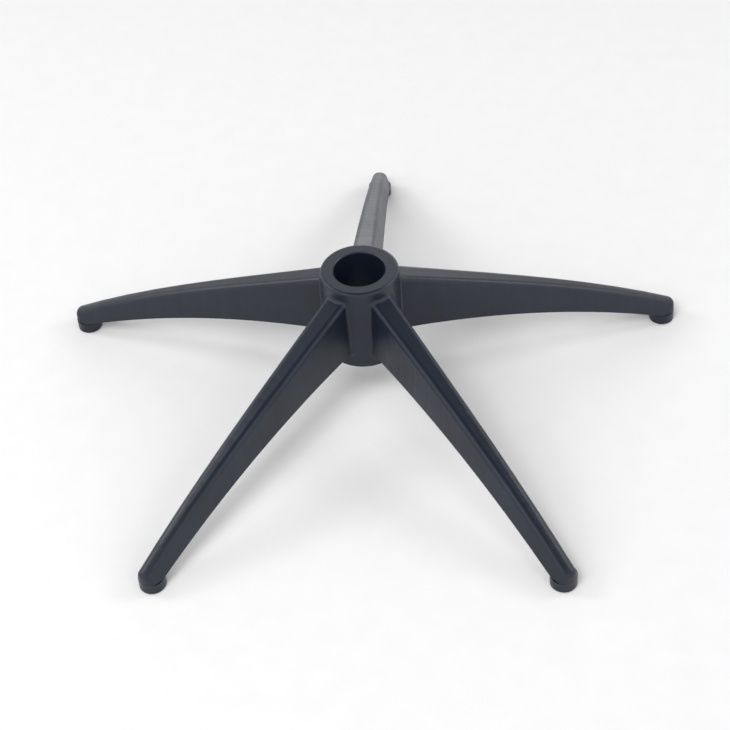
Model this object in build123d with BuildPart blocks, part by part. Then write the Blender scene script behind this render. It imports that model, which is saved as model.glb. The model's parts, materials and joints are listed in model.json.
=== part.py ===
from build123d import *
import os
from math import pi, radians, sin, tan

# Five-arm moulded base of a swivel office chair, one piece of glass-filled nylon.
# +Z is up. The origin lies on the hub's axis, in the plane of the five boss end faces,
# and the first arm points along +Y. Sizes are in millimetres, angles in degrees.

# Overall sizes
overall_diameter = 660.0
arm_count = 5
first_arm_angle = 90.0

# Hub: a barrel with a tapered socket for the gas column
hub_diameter = 76.0
hub_top = 156.0
hub_bottom = 62.0
hub_top_rounding = 3.0
hub_bottom_chamfer = 1.5
hub_wall = 4.0
hub_crown_thickness = 15.0
socket_mouth_diameter = 50.0
socket_throat_length = 14.3
socket_half_angle = 1.4378
socket_mouth_chamfer = 1.0
socket_wall = 5.0
web_count = 10
web_thickness = 2.5
web_recess = 6.0

# Arm: an arched channel, open below, with a rounded crest
crest_below_hub_top = 13.0
crest_at_inner_third = 109.4
crest_at_outer_third = 73.1
crest_at_boss = 28.9
underside_at_hub = 81.0
underside_at_middle = 58.3
underside_at_boss = 10.8
gap_between_arms_at_hub = 16.7
side_lean_at_hub = 2.65
crest_width_at_boss = 12.0
foot_inside_boss = 0.6
crest_rounding_at_hub = 5.0
crest_rounding_at_boss = 7.5
junction_fillet = 3.8
nose_rounding = 6.0
nose_setback = 0.4
outside_station_count = 10

# Channel under each arm, with cross ribs
channel_setback = 1.0
arm_wall = 3.5
crest_wall = 4.5
rib_pitch = 23.0
rib_thickness = 2.4
rib_recess = 3.0
channel_station_count = 4

# Caster boss at the end of each arm
boss_diameter = 25.0
boss_shoulder = 12.0
boss_end_chamfer = 1.5
caster_socket_diameter = 11.0
caster_socket_depth = 24.0
caster_lead_in = 0.8

# How far a cut runs past the face that it opens, and how near an edge has to be to be picked
overrun = 1.0
reach = 1.0

# Worked out from the sizes above
hub_radius = hub_diameter / 2
boss_radius = boss_diameter / 2
boss_station = overall_diameter / 2 - boss_radius
taper_end = hub_bottom + socket_throat_length
taper_length = hub_top - taper_end
socket_mouth_radius = socket_mouth_diameter / 2
socket_throat_radius = socket_mouth_radius - taper_length * tan(radians(socket_half_angle))
tube_radius = socket_mouth_radius + socket_wall
groove_depth = hub_top - hub_crown_thickness - hub_bottom
crest_at_hub = hub_top - crest_below_hub_top
foot_width_at_hub = 2 * hub_radius * sin(pi / arm_count) - gap_between_arms_at_hub
foot_width_at_boss = boss_diameter - 2 * foot_inside_boss
crest_width_at_hub = foot_width_at_hub - 2 * side_lean_at_hub
skirt = underside_at_boss
root_station = hub_radius - hub_wall
channel_start = hub_radius + channel_setback
channel_end = boss_station - boss_radius - channel_setback
channel_length = channel_end - channel_start
tip_station = boss_station + boss_radius + nose_rounding / 2


def smooth_height(points, station):
    """Height, at a distance from the hub's axis, of the smooth curve through a few points."""
    height = 0.0
    for place, level in points:
        weight = level
        for other, _ in points:
            if other != place:
                weight *= (station - other) / (place - other)
        height += weight
    return height


def between(at_hub, at_boss, station):
    """A size that changes evenly along the arm, from the barrel to the caster boss."""
    return at_hub + (at_boss - at_hub) * (station - hub_radius) / (boss_station - hub_radius)


span = boss_station - hub_radius
crest_line = [
    (hub_radius, crest_at_hub),
    (hub_radius + span / 3, crest_at_inner_third),
    (hub_radius + 2 * span / 3, crest_at_outer_third),
    (boss_station, crest_at_boss),
]
underside_line = [
    (hub_radius, underside_at_hub),
    (hub_radius + span / 2, underside_at_middle),
    (boss_station, underside_at_boss),
]


def arm_section(station, side_wall=0.0, top_wall=0.0):
    """Closed outline of the arm at a station, or of the space inside its walls.

    The sides lean in from the foot to the crest. They run on below the underside,
    which is cut to its arch afterwards. Only the outside has a rounded crest.
    """
    crest = smooth_height(crest_line, station)
    underside = smooth_height(underside_line, station)
    half_crest = between(crest_width_at_hub, crest_width_at_boss, station) / 2
    half_foot = between(foot_width_at_hub, foot_width_at_boss, station) / 2
    lean = (half_foot - half_crest) / (crest - underside)
    high = crest - top_wall
    low = underside - skirt
    top = half_crest + lean * top_wall - side_wall
    bottom = half_foot + lean * skirt - side_wall
    rounding = between(crest_rounding_at_hub, crest_rounding_at_boss, station)
    with BuildSketch(Plane(origin=(station, 0, 0), x_dir=(0, 1, 0), z_dir=(1, 0, 0))) as section:
        with BuildLine():
            Polyline((-bottom, low), (bottom, low), (top, high), (-top, high), close=True)
        make_face()
        if not side_wall:
            fillet(section.vertices().group_by(Axis.Z)[-1], radius=rounding)
    return section.sketch


def stations(first, last, count):
    """Evenly spaced distances from the hub's axis."""
    return [first + (last - first) * i / (count - 1) for i in range(count)]


def arch(lift=0.0):
    """Everything under the arm's arched underside, seen from the side, down past the floor."""
    below = -skirt - overrun
    beyond = tip_station + overrun
    places = stations(root_station, boss_station, 3)
    heights = [smooth_height(underside_line, place) + lift for place in places]
    with BuildSketch(Plane.XZ.offset(-hub_radius)) as side:
        with BuildLine():
            ThreePointArc(*zip(places, heights))
            Polyline(
                (boss_station, heights[-1]),
                (beyond, heights[-1]),
                (beyond, below),
                (0, below),
                (0, heights[0]),
                (root_station, heights[0]),
            )
        make_face()
    return side.sketch


# The outside runs straight between stations that lie close together, the channel is smooth
outside_places = stations(root_station, tip_station, outside_station_count)
channel_places = stations(channel_start, boss_station, channel_station_count)
arm_sections = [arm_section(place) for place in outside_places]
channel_sections = [arm_section(place, arm_wall, crest_wall) for place in channel_places]
under_arm = arch()
under_ribs = arch(rib_recess)

# Cross ribs, standing back from the rim of the channel
with BuildPart() as ribs:
    rib_count = round(channel_length / rib_pitch) - 1
    for number in range(1, rib_count + 1):
        with Locations((channel_start + number * channel_length / (rib_count + 1), 0, 0)):
            Box(rib_thickness, foot_width_at_hub, hub_top, align=(Align.CENTER, Align.CENTER, Align.MIN))
    extrude(under_ribs, amount=hub_diameter, mode=Mode.SUBTRACT)

# The pockets between the ribs, inside the arm's walls
with BuildPart() as pockets:
    loft(channel_sections)
    with Locations((boss_station, 0, 0)):
        Cylinder(boss_radius + channel_setback, 2 * hub_top, mode=Mode.SUBTRACT)
    add(ribs.part, mode=Mode.SUBTRACT)

# One arm along +X: a loft with a round nose, arched below, on its caster boss
with BuildSketch() as plan:
    with Locations((boss_station / 2, 0)):
        Rectangle(boss_station, hub_diameter)
    with Locations((boss_station, 0)):
        Circle(boss_radius - nose_setback)

with BuildPart() as arm:
    loft(arm_sections, ruled=True)
    extrude(plan.sketch, amount=hub_top, both=True, mode=Mode.INTERSECT)
    extrude(under_arm, amount=hub_diameter, mode=Mode.SUBTRACT)
    nose = arm.faces().filter_by(GeomType.CYLINDER).sort_by(Axis.X)[-1]
    nose_edges = nose.edges().filter_by(lambda edge: edge.bounding_box().max.Z > underside_at_boss + reach)
    fillet(nose_edges, radius=nose_rounding)
    with Locations((boss_station, 0, 0)):
        Cylinder(boss_radius, boss_shoulder, align=(Align.CENTER, Align.CENTER, Align.MIN))
    chamfer(arm.edges().group_by(Axis.Z)[0], boss_end_chamfer)
    with Locations((boss_station, 0, 0)):
        Cylinder(
            caster_socket_diameter / 2,
            caster_socket_depth,
            align=(Align.CENTER, Align.CENTER, Align.MIN),
            mode=Mode.SUBTRACT,
        )
    lowest_circles = arm.edges().filter_by(GeomType.CIRCLE).group_by(Axis.Z)[0]
    chamfer(lowest_circles.sort_by(SortBy.RADIUS)[0], caster_lead_in)

# The barrel with five arms running into it, rounded into one another, and their pockets
with BuildPart() as chair_base:
    seam = Location((0, 0, hub_bottom), (0, 0, first_arm_angle + 180 / arm_count))
    with Locations(seam):
        Cylinder(hub_radius, hub_top - hub_bottom, align=(Align.CENTER, Align.CENTER, Align.MIN))
    fillet(chair_base.edges().group_by(Axis.Z)[-1], radius=hub_top_rounding)
    with PolarLocations(0, arm_count, first_arm_angle):
        add(arm.part)
    barrel = chair_base.faces().filter_by(GeomType.CYLINDER).sort_by(SortBy.AREA)[-1]
    lowest = underside_at_hub - reach
    highest = hub_top - hub_top_rounding - reach
    junctions = barrel.edges().filter_by(lambda edge: lowest < edge.bounding_box().max.Z < highest)
    fillet(junctions, radius=junction_fillet)
    with PolarLocations(0, arm_count, first_arm_angle):
        add(pockets.part, mode=Mode.SUBTRACT)

# The socket: a taper that narrows downwards, ending in a short straight throat
with chair_base:
    low_circles = chair_base.edges().filter_by(GeomType.CIRCLE).filter_by_position(
        Axis.Z, hub_bottom - reach, hub_bottom + reach
    )
    chamfer(low_circles, hub_bottom_chamfer)
    with Locations((0, 0, taper_end)):
        Cone(
            socket_throat_radius,
            socket_mouth_radius,
            taper_length,
            align=(Align.CENTER, Align.CENTER, Align.MIN),
            mode=Mode.SUBTRACT,
        )
    mouth = chair_base.edges().group_by(Axis.Z)[-1].sort_by(SortBy.RADIUS)[0]
    chamfer(mouth, socket_mouth_chamfer)
    with Locations((0, 0, hub_bottom)):
        Cylinder(
            socket_throat_radius,
            socket_throat_length,
            align=(Align.CENTER, Align.CENTER, Align.MIN),
            mode=Mode.SUBTRACT,
        )

# The groove round the socket's tube, open below, and the radial webs across it
with BuildPart() as groove:
    with Locations((0, 0, hub_bottom)):
        Cylinder(hub_radius - hub_wall, groove_depth, align=(Align.CENTER, Align.CENTER, Align.MIN))
        Cylinder(tube_radius, groove_depth, align=(Align.CENTER, Align.CENTER, Align.MIN), mode=Mode.SUBTRACT)
    with Locations((0, 0, hub_bottom + web_recess)):
        with PolarLocations(0, web_count, first_arm_angle):
            Box(
                hub_radius,
                web_thickness,
                groove_depth,
                align=(Align.MIN, Align.CENTER, Align.MIN),
                mode=Mode.SUBTRACT,
            )

with chair_base:
    add(groove.part, mode=Mode.SUBTRACT)

os.makedirs("parts", exist_ok=True)
chair_base.part.label = "chair_base"
export_step(chair_base.part, "parts/chair_base.step")
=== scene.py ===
import json
from math import cos, pi, radians, sin

import bmesh
import bpy
from mathutils import Matrix, Vector

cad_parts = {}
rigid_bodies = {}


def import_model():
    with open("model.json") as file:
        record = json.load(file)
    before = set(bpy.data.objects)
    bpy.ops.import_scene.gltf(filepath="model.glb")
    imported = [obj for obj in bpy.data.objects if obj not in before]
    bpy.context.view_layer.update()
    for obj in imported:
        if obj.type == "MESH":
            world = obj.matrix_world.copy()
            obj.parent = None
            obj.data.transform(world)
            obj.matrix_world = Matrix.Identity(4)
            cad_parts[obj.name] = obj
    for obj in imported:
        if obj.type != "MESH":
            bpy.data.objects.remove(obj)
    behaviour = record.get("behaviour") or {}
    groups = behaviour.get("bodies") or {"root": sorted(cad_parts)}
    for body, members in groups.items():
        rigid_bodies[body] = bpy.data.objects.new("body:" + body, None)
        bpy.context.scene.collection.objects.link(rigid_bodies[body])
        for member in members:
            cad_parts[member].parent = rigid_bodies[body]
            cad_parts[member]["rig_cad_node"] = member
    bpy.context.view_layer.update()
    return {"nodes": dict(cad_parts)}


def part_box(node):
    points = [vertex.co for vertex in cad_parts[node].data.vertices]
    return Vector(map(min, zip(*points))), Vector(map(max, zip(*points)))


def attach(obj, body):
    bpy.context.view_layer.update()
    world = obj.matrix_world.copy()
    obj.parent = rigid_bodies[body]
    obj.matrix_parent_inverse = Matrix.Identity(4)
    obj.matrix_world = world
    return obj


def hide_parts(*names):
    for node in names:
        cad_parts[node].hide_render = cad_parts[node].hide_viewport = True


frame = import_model()
bpy.ops.object.select_all(action="DESELECT")

# Lengths are in metres and angles in degrees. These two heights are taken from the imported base.
base_low, base_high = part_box("chair_base")
FLOOR_HEIGHT = base_low[2]
HUB_TOP = base_high[2]

# Caster bosses: the circle of their axes, their side and top, and the side of the arm's nose above them
ARM_COUNT = 5
FIRST_ARM_ANGLE = 90.0
BOSS_RING = 0.3175
BOSS_RADIUS = 0.0125
BOSS_TOP = 0.012
NOSE_RADIUS = 0.0121

# How near a vertex lies to the foot of a nose to belong to it, and how near two vertices are one
FOOT_TOLERANCE = 0.00003
MERGE_DISTANCE = 0.000001

# The ribs under the arms, which show through as faint sink marks
FIRST_RIB = 0.0611
RIB_PITCH = 0.0221
RIB_WIDTH = 0.0024

# The nylon: the drawn size of its grain, and the size, the range and the colours of its cloudy patches
GRAIN_SIZE = 0.0006
CLOUD_SIZE = 0.045
CLOUD_LOW = 0.3
CLOUD_HIGH = 0.7
NYLON_DARK = "#121827"
NYLON_LIGHT = "#182032"

# The paper under the base: its patches, and where it fades into the white behind it
FLOOR_SIZE = 16.0
PAPER_PATCH_SIZE = 0.025
PAPER_LOW = 0.3
PAPER_HIGH = 0.7
PAPER_DARK = "#fbfbfb"
PAPER_LIGHT = "#fdfdfd"
FADE_START = 0.8
FADE_END = 2.4
BACKDROP_WHITE = "#fdfdfd"

# The room: its light, and the upward part of a mirrored direction where wall ends and ceiling is darkest
ROOM_LIGHT = 0.49
ROOM_WHITE = "#ffffff"
WALL_TOP = 0.62
WALL_WHITE = "#fdfdfd"
CEILING_MIDDLE = 0.92
CEILING_GREY = "#4a4e56"

# The photograph's camera, fitted to the ring, the socket's mouth and the five tips
IMAGE_SIDE = 730
SENSOR_WIDTH = 36.0
FOCAL_PIXELS = 1730.0
AIM_HEIGHT = 0.050
CAMERA_DISTANCE = 1.723
CAMERA_HEIGHT_ANGLE = 42.78
CAMERA_TURN = 5.66
CAMERA_ROLL = 4.65
AXIS_PIXEL = (365.7, 350.2)


def linear(colour):
    """An sRGB hex colour as the linear values that a shader wants, by the standard's own curve."""
    parts = [int(colour[i : i + 2], 16) / 255 for i in (1, 3, 5)]
    return [p / 12.92 if p <= 0.04045 else ((p + 0.055) / 1.055) ** 2.4 for p in parts] + [1.0]


def add_node(tree, kind, settings=None, inputs=None):
    """Adds a node, sets its properties, and fills or links its inputs."""
    node = tree.nodes.new(kind)
    for name, value in (settings or {}).items():
        setattr(node, name, value)
    for name, value in (inputs or {}).items():
        if isinstance(value, bpy.types.NodeSocket):
            tree.links.new(value, node.inputs[name])
        else:
            node.inputs[name].default_value = value
    return node


def new_material(name):
    """An empty material, with its node tree and its output node."""
    material = bpy.data.materials.new(name)
    material.use_nodes = True
    material.node_tree.nodes.clear()
    return material, material.node_tree, material.node_tree.nodes.new("ShaderNodeOutputMaterial")


def ramp(tree, value, *stops):
    """A colour ramp between two colours, each given with its place on the ramp."""
    node = add_node(tree, "ShaderNodeValToRGB", inputs={"Fac": value})
    for element, (place, colour) in zip(node.color_ramp.elements, stops):
        element.position = place
        element.color = linear(colour)
    return node.outputs["Color"]


def noise(tree, place, size, **inputs):
    """A noise pattern whose patches are about the given size."""
    inputs = {"Vector": place, "Scale": 1 / size, **inputs}
    return add_node(tree, "ShaderNodeTexNoise", inputs=inputs).outputs["Fac"]


def compute(tree, operation, first, second):
    """One Math node."""
    return add_node(tree, "ShaderNodeMath", {"operation": operation}, {0: first, 1: second}).outputs[0]


def length(tree, vector):
    """The length of a vector."""
    return add_node(tree, "ShaderNodeVectorMath", {"operation": "LENGTH"}, {0: vector}).outputs["Value"]


def rise(tree, value, start, end):
    """A smooth rise from 0 to 1, while a value goes from start to end."""
    inputs = {"Value": value, "From Min": start, "From Max": end, "To Min": 0.0, "To Max": 1.0}
    node = add_node(tree, "ShaderNodeMapRange", {"interpolation_type": "SMOOTHSTEP"}, inputs)
    return node.outputs["Result"]


def mix(tree, share, first, second):
    """Two shaders mixed, with the share that the second one has."""
    inputs = {0: share, 1: first, 2: second}
    return add_node(tree, "ShaderNodeMixShader", inputs=inputs).outputs["Shader"]


def background(tree, colour, strength):
    """One Background shader."""
    inputs = {"Color": colour, "Strength": strength}
    return add_node(tree, "ShaderNodeBackground", inputs=inputs).outputs["Background"]


def ray_is(tree, *kinds):
    """1 where the ray is of one of the given kinds, and 0 otherwise."""
    path = add_node(tree, "ShaderNodeLightPath")
    found = path.outputs[kinds[0]]
    for kind in kinds[1:]:
        found = compute(tree, "MAXIMUM", found, path.outputs[kind])
    return found


def glass_filled_nylon():
    """Glass-filled nylon, injection moulded in a spark-eroded mould.

    The eye gets a near-black body colour with a little blue, a broad satin sheen from the
    fine grain, slightly cloudy gloss where the glass fibres come near the skin, and faint
    sink marks over the ribs on the far side.
    """
    material, tree, output = new_material("glass_filled_nylon")
    place = add_node(tree, "ShaderNodeTexCoord").outputs["Object"]

    # The mould's grain is about 0.15 mm, too fine for the render: drawn at 0.6 mm
    grain = noise(tree, place, GRAIN_SIZE, Detail=2.0, Roughness=0.6)

    # Cloudy patches, 30 to 60 mm across, where fibres lie near the skin
    cloud = noise(tree, place, CLOUD_SIZE, Detail=5.0, Roughness=0.55, Distortion=0.4)
    colour = ramp(tree, cloud, (CLOUD_LOW, NYLON_DARK), (CLOUD_HIGH, NYLON_LIGHT))
    levels = {"From Min": CLOUD_LOW, "From Max": CLOUD_HIGH, "To Min": 0.43, "To Max": 0.36}
    gloss = add_node(tree, "ShaderNodeMapRange", inputs={"Value": cloud, **levels}).outputs["Result"]

    # Sink marks: shallow dips over each rib, counted outwards from the hub's axis
    flat = add_node(tree, "ShaderNodeVectorMath", {"operation": "MULTIPLY"}, {0: place, 1: (1.0, 1.0, 0.0)})
    reach = length(tree, flat.outputs["Vector"])
    from_rib = compute(tree, "PINGPONG", compute(tree, "SUBTRACT", reach, FIRST_RIB), RIB_PITCH / 2)
    dip = rise(tree, from_rib, 0.0, 2 * RIB_WIDTH)

    shallow = add_node(tree, "ShaderNodeBump", inputs={"Height": dip, "Strength": 0.35, "Distance": 0.0003})
    wavy = add_node(
        tree,
        "ShaderNodeBump",
        inputs={"Height": cloud, "Strength": 0.4, "Distance": 0.0012, "Normal": shallow.outputs["Normal"]},
    )
    surface = add_node(
        tree,
        "ShaderNodeBump",
        inputs={"Height": grain, "Strength": 0.25, "Distance": 0.00012, "Normal": wavy.outputs["Normal"]},
    )
    shader = add_node(
        tree,
        "ShaderNodeBsdfPrincipled",
        inputs={"Base Color": colour, "Roughness": gloss, "IOR": 1.53, "Normal": surface.outputs["Normal"]},
    )
    tree.links.new(shader.outputs["BSDF"], output.inputs["Surface"])
    return material


def base_with_flush_noses(node):
    """A merged copy of the base, with the foot of each arm's nose drawn out flush with its boss."""
    base = node.copy()
    base.data = node.data.copy()
    base.name = "moulded_base"
    del base["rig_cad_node"]
    bpy.context.collection.objects.link(base)
    base.select_set(True)
    bpy.context.view_layer.objects.active = base
    bpy.ops.object.mode_set(mode="EDIT")
    bpy.ops.mesh.select_mode(type="VERT")
    bpy.ops.mesh.select_all(action="SELECT")
    bpy.ops.mesh.remove_doubles(threshold=MERGE_DISTANCE, use_sharp_edge_from_normals=True)

    # The foot of a nose is the outer half of the circle where it meets the boss's top
    grow = BOSS_RADIUS / NOSE_RADIUS
    for arm in range(ARM_COUNT):
        angle = radians(FIRST_ARM_ANGLE) + 2 * pi * arm / ARM_COUNT
        outward = Vector((cos(angle), sin(angle), 0.0))
        centre = BOSS_RING * outward + Vector((0.0, 0.0, BOSS_TOP))
        bpy.ops.mesh.select_all(action="DESELECT")
        mesh = bmesh.from_edit_mesh(base.data)
        for vertex in mesh.verts:
            step = vertex.co - centre
            off_circle = abs(step.xy.length - NOSE_RADIUS)
            on_foot = abs(step.z) < FOOT_TOLERANCE and off_circle < FOOT_TOLERANCE
            if on_foot and step.dot(outward) > 0.0:
                vertex.select_set(True)
        mesh.select_flush(True)
        bmesh.update_edit_mesh(base.data)
        bpy.ops.transform.resize(value=(grow, grow, 1.0), center_override=centre)
    bpy.ops.object.mode_set(mode="OBJECT")
    base.select_set(False)
    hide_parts("chair_base")
    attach(base, "root")
    return base


def studio_paper():
    """Matt white paper.

    The eye gets the base's soft shadow on a plain pale ground, which fades into the white of
    the backdrop far from the base.
    """
    material, tree, output = new_material("studio_paper")
    place = add_node(tree, "ShaderNodeTexCoord").outputs["Object"]
    patches = noise(tree, place, PAPER_PATCH_SIZE, Detail=3.0)
    colour = ramp(tree, patches, (PAPER_LOW, PAPER_DARK), (PAPER_HIGH, PAPER_LIGHT))
    paper = add_node(tree, "ShaderNodeBsdfDiffuse", inputs={"Color": colour, "Roughness": 0.9})
    white = add_node(tree, "ShaderNodeEmission", inputs={"Color": linear(BACKDROP_WHITE), "Strength": 1.0})
    fade = rise(tree, length(tree, place), FADE_START, FADE_END)
    direct = ray_is(tree, "Is Camera Ray", "Is Transmission Ray", "Is Glossy Ray")
    share = compute(tree, "MULTIPLY", fade, direct)
    shader = mix(tree, share, paper.outputs["BSDF"], white.outputs["Emission"])
    tree.links.new(shader, output.inputs["Surface"])
    return material


def lay_floor():
    """A wide sheet of paper under the base."""
    bpy.ops.mesh.primitive_plane_add(size=FLOOR_SIZE, location=(0.0, 0.0, FLOOR_HEIGHT))
    floor = bpy.context.active_object
    floor.name = "floor"
    floor.data.materials.append(studio_paper())
    bpy.ops.object.transform_apply(location=True)
    floor.select_set(False)


def hang_softbox(name, place, side, watts):
    """A square softbox, aimed at the top of the hub."""
    light = bpy.data.lights.new(name, "AREA")
    light.shape = "SQUARE"
    light.size = side
    light.energy = watts
    lamp = bpy.data.objects.new(name, light)
    bpy.context.collection.objects.link(lamp)
    lamp.location = place
    aim = Vector((0.0, 0.0, HUB_TOP))
    lamp.rotation_euler = (aim - Vector(place)).to_track_quat("-Z", "Y").to_euler()
    return lamp


def hang_softboxes():
    """Softboxes over and round the base. The key one isn't mirrored in the nylon."""
    key = hang_softbox("key_softbox", place=(-0.45, -1.35, 1.9), side=0.7, watts=13.8)
    key.visible_glossy = False
    hang_softbox("left_softbox", place=(-1.6, 0.25, 1.4), side=0.6, watts=7.6)
    hang_softbox("right_softbox", place=(1.5, 0.3, 1.3), side=0.6, watts=5.2)
    hang_softbox("front_left_softbox", place=(-1.0, -1.3, 1.5), side=0.5, watts=2.85)
    hang_softbox("front_right_softbox", place=(1.0, -1.5, 1.7), side=0.5, watts=1.9)
    hang_softbox("rear_softbox", place=(0.1, 2.6, 0.75), side=1.3, watts=10.0)


def build_room():
    """A white room: its light, what a surface mirrors of it, and the white that the camera sees."""
    world = bpy.data.worlds.new("white_room")
    world.use_nodes = True
    bpy.context.scene.world = world
    tree = world.node_tree
    tree.nodes.clear()

    # What a surface mirrors: white walls, and a ceiling that gets darker towards its middle
    toward = add_node(tree, "ShaderNodeTexCoord").outputs["Generated"]
    upward = add_node(tree, "ShaderNodeSeparateXYZ", inputs={"Vector": toward}).outputs["Z"]
    shade = ramp(tree, upward, (WALL_TOP, WALL_WHITE), (CEILING_MIDDLE, CEILING_GREY))
    mirrored = background(tree, shade, 1.0)

    room = background(tree, linear(ROOM_WHITE), ROOM_LIGHT)
    backdrop = background(tree, linear(BACKDROP_WHITE), 1.0)
    around = mix(tree, ray_is(tree, "Is Glossy Ray"), room, mirrored)
    direct = ray_is(tree, "Is Camera Ray", "Is Transmission Ray")
    either = mix(tree, direct, around, backdrop)
    output = add_node(tree, "ShaderNodeOutputWorld")
    tree.links.new(either, output.inputs["Surface"])


def place_camera():
    """The photograph's camera: its angle, distance, roll and framing."""
    turn = radians(CAMERA_TURN)
    height_angle = radians(CAMERA_HEIGHT_ANGLE)
    level = CAMERA_DISTANCE * cos(height_angle)
    aim = Vector((0.0, 0.0, AIM_HEIGHT))
    place = aim + Vector((level * sin(turn), -level * cos(turn), CAMERA_DISTANCE * sin(height_angle)))
    lens = bpy.data.cameras.new("photo_camera")
    lens.sensor_fit = "HORIZONTAL"
    lens.sensor_width = SENSOR_WIDTH
    lens.lens = FOCAL_PIXELS / IMAGE_SIDE * SENSOR_WIDTH
    lens.shift_x = (IMAGE_SIDE / 2 - AXIS_PIXEL[0]) / IMAGE_SIDE
    lens.shift_y = (AXIS_PIXEL[1] - IMAGE_SIDE / 2) / IMAGE_SIDE
    camera = bpy.data.objects.new("photo_camera", lens)
    bpy.context.collection.objects.link(camera)
    level_view = (aim - place).to_track_quat("-Z", "Y").to_matrix()
    roll = Matrix.Rotation(-radians(CAMERA_ROLL), 3, "Z")
    camera.matrix_world = Matrix.Translation(place) @ (level_view @ roll).to_4x4()
    bpy.context.scene.camera = camera


nylon = glass_filled_nylon()
base = base_with_flush_noses(frame["nodes"]["chair_base"])
for material_slot in base.material_slots:
    material_slot.material = nylon

lay_floor()
hang_softboxes()
build_room()
place_camera()
bpy.context.scene.view_settings.view_transform = "Standard"
